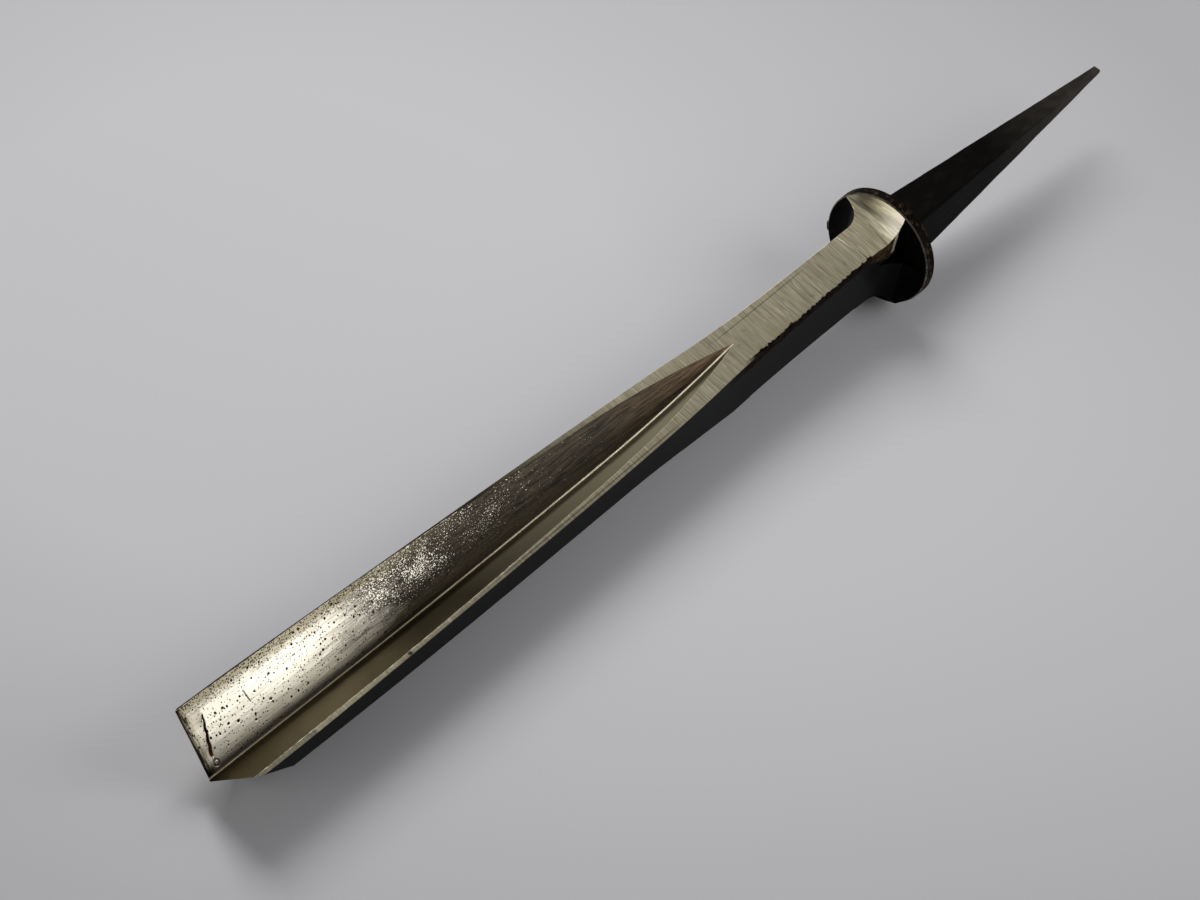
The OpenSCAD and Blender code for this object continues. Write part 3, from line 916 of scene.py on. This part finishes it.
class CHISEL_OT_blade(bpy.types.Operator):
    """Dress the V blade with its groove, wings and sharpened end"""

    bl_idname = "chisel.blade"
    bl_label = "Blade"

    def execute(self, context):
        shape = context.scene.chisel_shape
        piece = copy_of_node("blade", "v_blade")

        def inside(edge):
            middle = (edge.verts[0].co + edge.verts[1].co) / 2
            return BLADE_LOW.x + NEAR * MM < middle.x < BLADE_HIGH.x - NEAR * MM

        def groove_bottom(edge):
            a, b = (f.normal for f in edge.link_faces)
            return a.z > 0.5 and b.z > 0.5 and a.y * b.y < -0.2

        def corner(edge):
            return edge.is_convex and turn_of(edge) > 30 and inside(edge)

        def forged(edge):
            return corner(edge) and max(f.normal.z for f in edge.link_faces) < 0.5

        def ground(edge):
            return corner(edge) and max(f.normal.z for f in edge.link_faces) > 0.9

        round_edges(piece, groove_bottom, shape.root_round, 4)
        round_edges(piece, forged, shape.forged_edge, 2)
        round_edges(piece, ground, shape.wing_edge, 2)

        self.grid_for_marks(piece)

        def finish_of(normal, place):
            # The walls of the groove rise by 0.70. What rises more is a worn edge or the top
            above_walls = normal.z > 0.76
            if above_walls and place.z < ROOT_TOP and abs(place.y) * MM < shape.root_round:
                return "root"
            # The worn edges of the wings lean outwards, or inwards over the groove
            if above_walls and abs(normal.y) > 0.15:
                if place.y < 0 and normal.y < 0:
                    return "outer"
                return "wing" if place.x > RUBBED_START and normal.y * place.y < 0 else "top"
            if normal.z > 0.9:
                return "top"
            if normal.z > 0.3:
                return "left_wall" if normal.y > 0.66 else "right_wall"
            if normal.x > 0.2:
                return "bevel"
            return "slant" if normal.z < -0.3 else "side"

        give_finishes(
            piece,
            {
                "left_wall": pitted_wall(),
                "right_wall": plain_wall(),
                "root": worn_root(),
                "top": cross_ground_top(),
                "outer": dull_edge(),
                "wing": rubbed_edge("rubbed_wing_steel", "5d5643", "d2ccb6"),
                "bevel": stoned_bevel(),
                "side": blued_side(),
                "slant": blued_side("blued_slant", 0.006),
            },
            finish_of,
        )
        press_in(piece, "pits", pit_share, shape.pit_depth)
        press_in(piece, "scar", scar_share, shape.scar_depth)
        press_in(piece, "scar_rim", scar_rim_share, shape.pit_depth)
        finish_shading(piece)
        declare(piece, "blade")
        return {"FINISHED"}

    @staticmethod
    def grid_for_marks(piece):
        """Cuts the left wall near the edge into a fine grid."""
        select_only(piece)
        bpy.ops.object.mode_set(mode="EDIT")
        for cut in (MARKS_START, MARKS_FINE):
            bpy.ops.mesh.select_all(action="SELECT")
            bpy.ops.mesh.bisect(plane_co=(cut * MM, 0, 0), plane_no=(1, 0, 0))
        bpy.ops.mesh.select_mode(type="FACE")
        bpy.ops.mesh.select_all(action="DESELECT")
        grid = bmesh.from_edit_mesh(piece.data)
        for face in grid.faces:
            place = face.calc_center_median() / MM
            face.select = face.normal.z > 0.5 and carries_marks(place)
        bmesh.update_edit_mesh(piece.data)
        bpy.ops.mesh.subdivide(number_cuts=MARKS_CUTS)
        bpy.ops.object.mode_set(mode="OBJECT")


class CHISEL_OT_shank(bpy.types.Operator):
    """Dress the shank with its ground top and forged sides"""

    bl_idname = "chisel.shank"
    bl_label = "Shank"

    def execute(self, context):
        shape = context.scene.chisel_shape
        piece = copy_of_node("shank", "rectangular_shank")

        def above(edge):
            return max(f.normal.z for f in edge.link_faces) > 0.9

        def corner(edge):
            return edge.is_convex and turn_of(edge) > 30 and runs_lengthwise(edge)

        round_edges(piece, lambda edge: corner(edge) and not above(edge), shape.forged_edge, 2)
        round_edges(piece, lambda edge: corner(edge) and above(edge), shape.ground_edge, 2)
        give_finishes(
            piece,
            {"top": cross_ground_top(), "side": blued_side()},
            lambda normal, place: "top" if normal.z > 0.9 else "side",
        )
        finish_shading(piece)
        declare(piece, "shank")
        return {"FINISHED"}


class CHISEL_OT_bolster(bpy.types.Operator):
    """Dress the bolster with its ground sweep and worn rim"""

    bl_idname = "chisel.bolster"
    bl_label = "Bolster"

    def execute(self, context):
        shape = context.scene.chisel_shape
        piece = copy_of_node("bolster", "round_bolster")
        self.add_flash_ear(piece, shape.ear)

        def finish_of(normal, place):
            on_rim = math.hypot(place.y, place.z) > RIM_INNER
            in_front = place.x > RIM_FRONT - NEAR
            # The chamfer at the front of the rim, then the rim itself
            if on_rim and 0.2 < normal.x < 0.95 and place.x > 1.2:
                return "edge"
            if on_rim and not in_front:
                return "rim"
            # The sides of the nose, then the ground sweep over it
            if place.x > RIM_FRONT + 0.05 and abs(normal.x) < 0.8 and normal.z < 0.3:
                return "side"
            if place.z > 3.9 and (normal.z > 0.3 or (normal.x > 0.5 and in_front)):
                return "sweep"
            return "scale"

        give_finishes(
            piece,
            {
                "scale": forge_scale(),
                "sweep": cross_ground_top(),
                "rim": worn_rim(),
                "edge": rubbed_edge(),
                "side": blued_side(),
            },
            finish_of,
        )
        finish_shading(piece)
        declare(piece, "bolster")
        return {"FINISHED"}

    @staticmethod
    def add_flash_ear(piece, proud):
        """Adds the small ear of flash that stands out from the left of the rim."""
        select_only(piece)
        bpy.ops.object.mode_set(mode="EDIT")
        bpy.ops.mesh.select_all(action="DESELECT")
        size = Vector(EAR_SIZE) * MM
        centre = BOLSTER_HIGH.y + proud - size.y / 2
        bpy.ops.mesh.primitive_cube_add(
            size=1.0,
            location=(EAR_PLACE * MM, -centre * math.cos(EAR_TURN), -centre * math.sin(EAR_TURN)),
            rotation=(EAR_TURN, 0, 0),
            scale=size,
        )
        bpy.ops.mesh.bevel(offset=0.25 * MM, segments=2, affect="EDGES")
        bpy.ops.object.mode_set(mode="OBJECT")


class CHISEL_OT_tang(bpy.types.Operator):
    """Dress the hammered tang"""

    bl_idname = "chisel.tang"
    bl_label = "Tang"

    def execute(self, context):
        shape = context.scene.chisel_shape
        piece = copy_of_node("tang", "tapered_tang")

        def corner(edge):
            return turn_of(edge) > 45 and runs_lengthwise(edge)

        round_edges(piece, corner, shape.tang_edge, 3, kind="PERCENT")
        bpy.ops.object.mode_set(mode="EDIT")
        bpy.ops.mesh.select_all(action="SELECT")
        bpy.ops.mesh.subdivide(number_cuts=24)
        bpy.ops.object.mode_set(mode="OBJECT")
        # The hammer marks stop short of the root, which sits in the bolster
        forged = piece.vertex_groups.new(name="forged")
        outside = [v.index for v in piece.data.vertices if v.co.x < -0.4 * MM]
        forged.add(outside, 1.0, "REPLACE")
        dents = bpy.data.textures.new("hammer marks", "CLOUDS")
        dents.noise_scale = 3.5 * MM
        dents.noise_depth = 2
        marks = piece.modifiers.new("Hammer marks", "DISPLACE")
        marks.texture = dents
        marks.texture_coords = "LOCAL"
        marks.vertex_group = "forged"
        marks.strength = shape.hammer_depth
        marks.mid_level = 0.6
        bpy.ops.object.modifier_apply(modifier=marks.name)
        piece.data.materials.append(forge_scale("tang_scale", thinned=True))
        finish_shading(piece)
        declare(piece, "tang")
        return {"FINISHED"}


# Where the camera stands, the point on the tool's centre plane that it aims at, and its roll
CAMERA_PLACE = Vector((455.0, 223.7, 472.3)) * MM
CAMERA_AIM = Vector((50.86, -1.52, 0.0)) * MM
CAMERA_ROLL = math.radians(13.96)
# The tool rests on the bottom of the bolster and on the front of the keel
REST_HEEL = Vector((0.75, 0.0, -7.125)) * MM
REST_KEEL = Vector((112.3, 0.0, -4.15)) * MM
# Side of the square table, in metres
TABLE_SIZE = 3.0
# Middle of the pool of light painted on the table: it is painted lightest here and a little darker further
# away, in millimetres from its middle
TABLE_LIGHT_POOL = (0.0, -38.0, 0.0)
# Faint light from the room, slightly blue
ROOM_LIGHT = (0.12, 0.12, 0.128, 1)
# The lamps face this place, in the middle of the tool
LAMP_AIM = Vector((60.0, 0.0, 0.0)) * MM


def aimed(place, aim, roll=0.0):
    """Matrix that stands at a place and looks at a point, rolled about the view."""
    look = (aim - place).to_track_quat("-Z", "Y").to_matrix().to_4x4()
    return Matrix.Translation(place) @ look @ Matrix.Rotation(roll, 4, "Z")


def matt_table():
    """Plain matt table with painted light: it is painted a little darker away from the tool."""
    stage = bpy.context.scene.chisel_stage
    material, tree, shader, place = new_material("matt_table")
    away = add_node(tree, "VectorMath", {0: place, 1: TABLE_LIGHT_POOL}, out="Value", operation="DISTANCE")
    # Painted light: darker away from the middle of the pool of light
    painted_fade = add_node(tree, "MapRange", {"Value": away, "From Min": 40.0, "From Max": 125.0, "To Max": 0.34})
    tone = add_node(tree, "Mix", {0: painted_fade, MIX_A: stage.table, MIX_B: (0, 0, 0)}, **OF_COLOURS)
    feed(tree, shader, {"Base Color": tone, "Roughness": 0.8})
    return material


class CHISEL_OT_stage(bpy.types.Operator):
    """Set the table, the lamps and the camera"""

    bl_idname = "chisel.stage"
    bl_label = "Stage"

    def execute(self, context):
        scene = context.scene
        lean = REST_KEEL - REST_HEEL
        middle = (REST_KEEL + REST_HEEL) / 2
        bpy.ops.object.select_all(action="DESELECT")
        bpy.ops.mesh.primitive_plane_add(
            size=TABLE_SIZE, location=middle, rotation=(0, -math.atan2(lean.z, lean.x), 0)
        )
        table = context.active_object
        table.name = "table"
        table.data.materials.append(matt_table())

        camera = bpy.data.objects.new("camera", bpy.data.cameras.new("camera"))
        scene.collection.objects.link(camera)
        camera.data.lens = scene.chisel_stage.lens
        camera.data.sensor_width = 36
        camera.data.clip_start = 10 * MM
        camera.matrix_world = aimed(CAMERA_PLACE, CAMERA_AIM, CAMERA_ROLL)
        scene.camera = camera

        self.lamp(scene, "window", (-354, -612, 707), distance=900, size=(480, 480), power=5.45)
        self.lamp(scene, "side_panel", (-657, 675, 430), distance=260, size=(165, 235), power=0.34)
        self.lamp(scene, "ceiling_panel", (-700, -340, 620), distance=700, size=(260, 900), power=0.36)
        self.lamp(scene, "front_panel", (920, -323, 220), distance=600, size=(300, 300), power=0.9)
        world = bpy.data.worlds.new("studio")
        world.use_nodes = True
        world.node_tree.nodes["Background"].inputs["Color"].default_value = ROOM_LIGHT
        scene.world = world
        scene.view_settings.view_transform = "Standard"
        return {"FINISHED"}

    @staticmethod
    def lamp(scene, name, direction, distance, size, power):
        """A soft panel that faces the middle of the tool: sizes in millimetres, power in watts."""
        data = bpy.data.lights.new(name, "AREA")
        data.shape = "RECTANGLE"
        data.size, data.size_y = (side * MM for side in size)
        data.energy = power
        lamp = bpy.data.objects.new(name, data)
        scene.collection.objects.link(lamp)
        place = LAMP_AIM + Vector(direction).normalized() * distance * MM
        lamp.matrix_world = aimed(place, LAMP_AIM)


class CHISEL_PT_sidebar(bpy.types.Panel):
    """Lists the pieces and their sizes and colours"""

    bl_idname = "CHISEL_PT_sidebar"
    bl_label = "V-Parting Chisel"
    bl_space_type = "VIEW_3D"
    bl_region_type = "UI"
    bl_category = "Chisel"

    def draw(self, context):
        column = self.layout.column()
        for group in GROUPS:
            settings = getattr(context.scene, group)
            for name in settings.__annotations__:
                column.prop(settings, name)
        for operator in OPERATORS:
            column.operator(operator.bl_idname)


OPERATORS = (CHISEL_OT_blade, CHISEL_OT_shank, CHISEL_OT_bolster, CHISEL_OT_tang, CHISEL_OT_stage)
GROUPS = {
    "chisel_shape": ChiselShape,
    "chisel_finish": ChiselFinish,
    "chisel_stage": ChiselStage,
}
CLASSES = (*GROUPS.values(), *OPERATORS, CHISEL_PT_sidebar)


def register():
    for cls in CLASSES:
        bpy.utils.register_class(cls)
    for name, group in GROUPS.items():
        setattr(bpy.types.Scene, name, bpy.props.PointerProperty(type=group))


def unregister():
    for name in GROUPS:
        delattr(bpy.types.Scene, name)
    for cls in reversed(CLASSES):
        bpy.utils.unregister_class(cls)


def main():
    """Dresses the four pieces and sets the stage."""
    register()
    bpy.ops.chisel.blade()
    bpy.ops.chisel.shank()
    bpy.ops.chisel.bolster()
    bpy.ops.chisel.tang()
    bpy.ops.chisel.stage()


if __name__ == "__main__":
    main()
